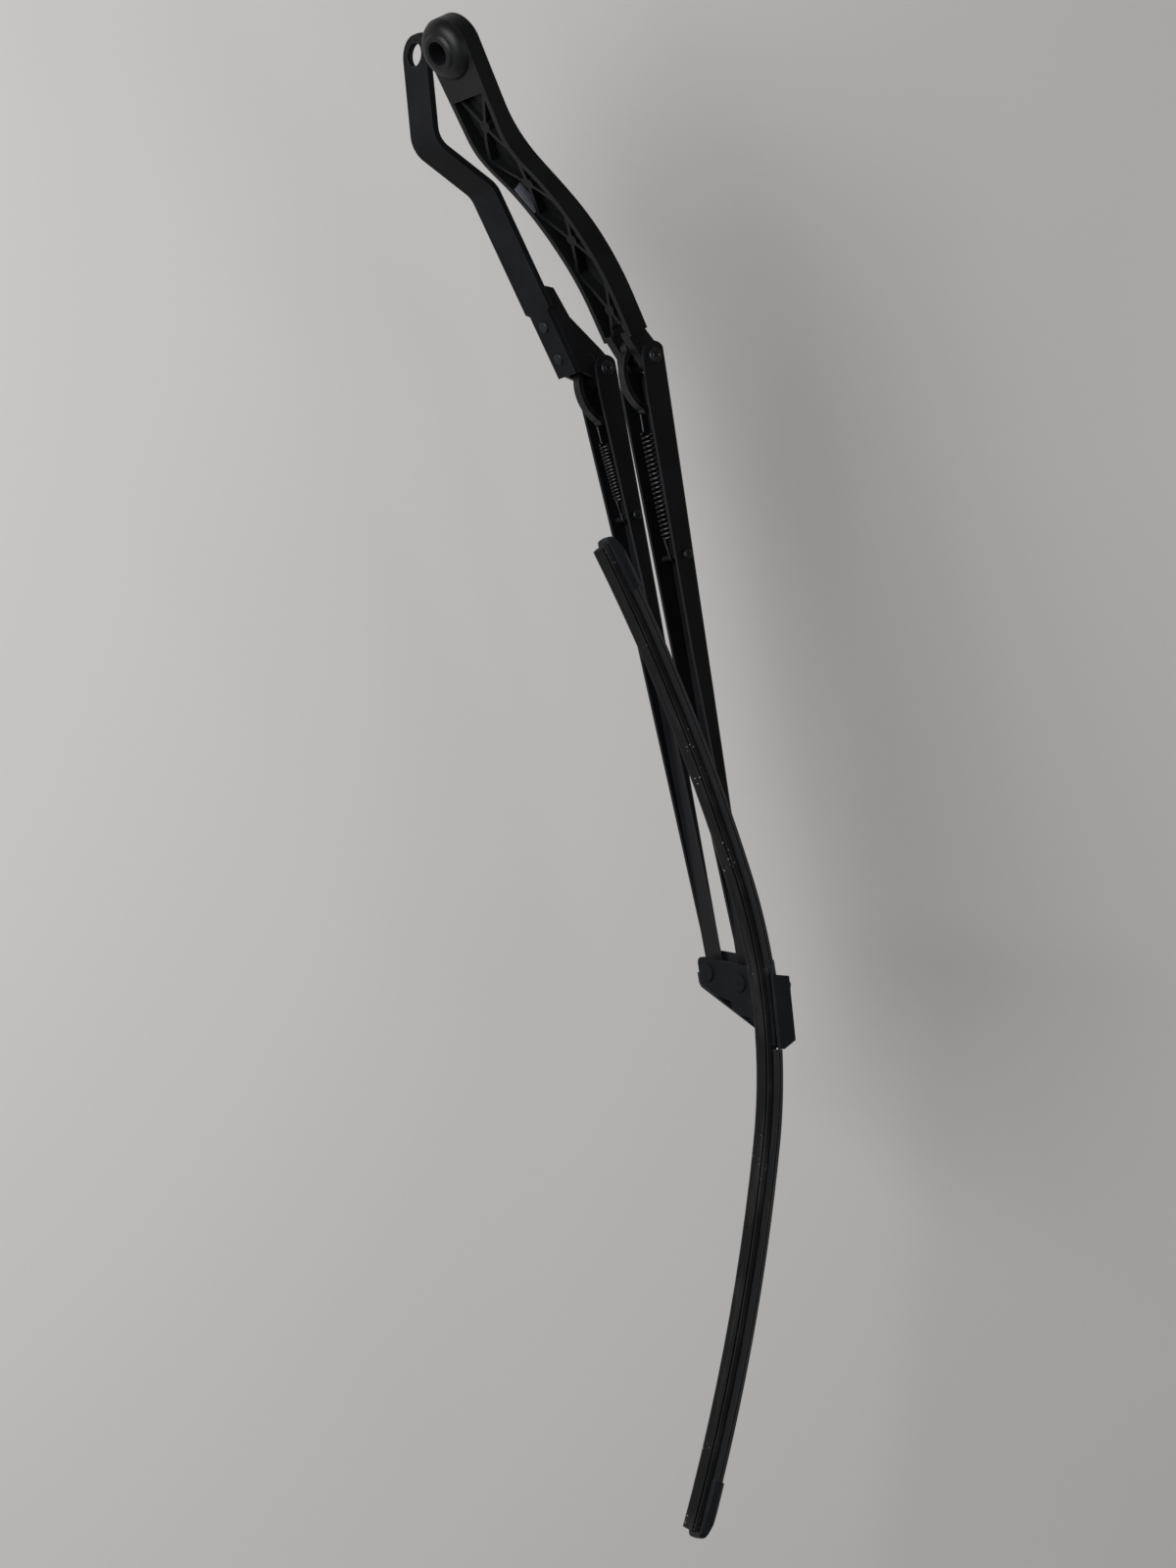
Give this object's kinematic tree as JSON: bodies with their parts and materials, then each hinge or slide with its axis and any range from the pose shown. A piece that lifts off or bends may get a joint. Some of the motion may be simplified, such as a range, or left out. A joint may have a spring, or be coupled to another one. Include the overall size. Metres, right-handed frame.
{
  "type": "windshield wiper",
  "caption": "Twin-arm wiper: sprung main arm and control arm joined by a coupler that carries a curved flat blade on a side pin; the arms fold up at their hinges.",
  "frame": {"origin": "centre of the spindle bore's mouth, on the tip of the main head's boss", "axes": "+Z along the spindle away from the glass, +X along the main arm to the blade, +Y to the control arm"},
  "size_m": [0.797, 0.102, 0.3345],
  "materials": {
    "cast_paint": "satin black paint on a die casting",
    "steel_paint": "satin black paint on pressed steel",
    "strap_paint": "grey-black coating on flat steel",
    "pin_steel": "blackened steel rivets and pins",
    "spring_steel": "oiled spring wire",
    "plate_paint": "matt dark grey coating",
    "bush_plastic": "moulded bearing plastic",
    "moulding": "fine-grained black moulding",
    "rubber": "worn wiper rubber",
    "spoiler_rubber": "extruded soft plastic"
  },
  "bodies": {
    "head": {"main_head": "cast_paint", "main_link_pin": "pin_steel"},
    "main_arm": {"main_channel": "steel_paint", "main_hinge_pin": "pin_steel", "main_spring_rivet": "pin_steel", "main_spring": "spring_steel", "main_pivot_bush": "bush_plastic"},
    "main_link": {"main_spring_link": "pin_steel"},
    "coupler": {"coupler_plate": "plate_paint", "coupler_cover": "moulding", "main_pivot_rivet": "pin_steel", "control_pivot_rivet": "pin_steel", "side_pin": "pin_steel"},
    "control_arm": {"control_channel": "steel_paint", "control_hinge_pin": "pin_steel", "control_spring_rivet": "pin_steel", "control_spring": "spring_steel", "control_pivot_bush": "bush_plastic"},
    "strap": {"control_strap": "strap_paint", "control_knuckle": "steel_paint", "strap_rivets": "pin_steel", "control_link_pin": "pin_steel"},
    "control_link": {"control_spring_link": "pin_steel"},
    "blade": {"blade_adapter": "moulding", "blade_base": "steel_paint", "base_rivet": "pin_steel", "rail_near": "spring_steel", "rail_far": "spring_steel", "squeegee": "rubber", "spoiler_inner": "spoiler_rubber", "spoiler_outer": "spoiler_rubber", "end_cap_inner": "moulding", "end_cap_outer": "moulding"},
    "button": {"adapter_button": "moulding"}
  },
  "joints": [
    {"name": "main_hinge", "type": "hinge", "parent": "head", "child": "main_arm", "pos_m": [0.203, 0, 0.0474], "axis": [0, -1, 0], "range_deg": [0, 55], "deforming": ["main_spring"]},
    {"name": "main_link_swing", "type": "hinge", "parent": "head", "child": "main_link", "pos_m": [0.19361, 0, 0.04164], "axis": [0, -1, 0], "range_deg": [0, 50.05]},
    {"name": "coupler_pivot", "type": "hinge", "parent": "main_arm", "child": "coupler", "pos_m": [0.54225, 0, -0.06941], "axis": [0.3256, 0, 0.9455], "range_deg": [-30, 18]},
    {"name": "control_pivot", "type": "hinge", "parent": "coupler", "child": "control_arm", "pos_m": [0.53516, 0.027, -0.06697], "axis": [0.3256, 0, 0.9455], "range_deg": [-18, 30]},
    {"name": "control_hinge", "type": "hinge", "parent": "control_arm", "child": "strap", "pos_m": [0.203, 0.042, 0.0474], "axis": [-0.0403, -0.9991, 0.0139], "range_deg": [-55, 0], "deforming": ["control_spring"]},
    {"name": "control_link_swing", "type": "hinge", "parent": "strap", "child": "control_link", "pos_m": [0.19362, 0.0423, 0.04164], "axis": [-0.0403, -0.9991, 0.0139], "range_deg": [0, 50.05]},
    {"name": "blade_pivot", "type": "hinge", "parent": "coupler", "child": "blade", "pos_m": [0.55692, -0.031, -0.07658], "axis": [0, -1, 0], "range_deg": [-6, 15]},
    {"name": "button_press", "type": "slide", "parent": "blade", "child": "button", "axis": [0.3907, 0, 0.9205], "range_m": [-0.0015, 0]}
  ],
  "couplings": [
    {"joint": "main_link_swing", "follows": "main_hinge", "ratio": 0.91},
    {"joint": "control_pivot", "follows": "coupler_pivot", "ratio": -1},
    {"joint": "control_hinge", "follows": "main_hinge", "ratio": -1},
    {"joint": "control_link_swing", "follows": "main_hinge", "ratio": 0.91}
  ]
}
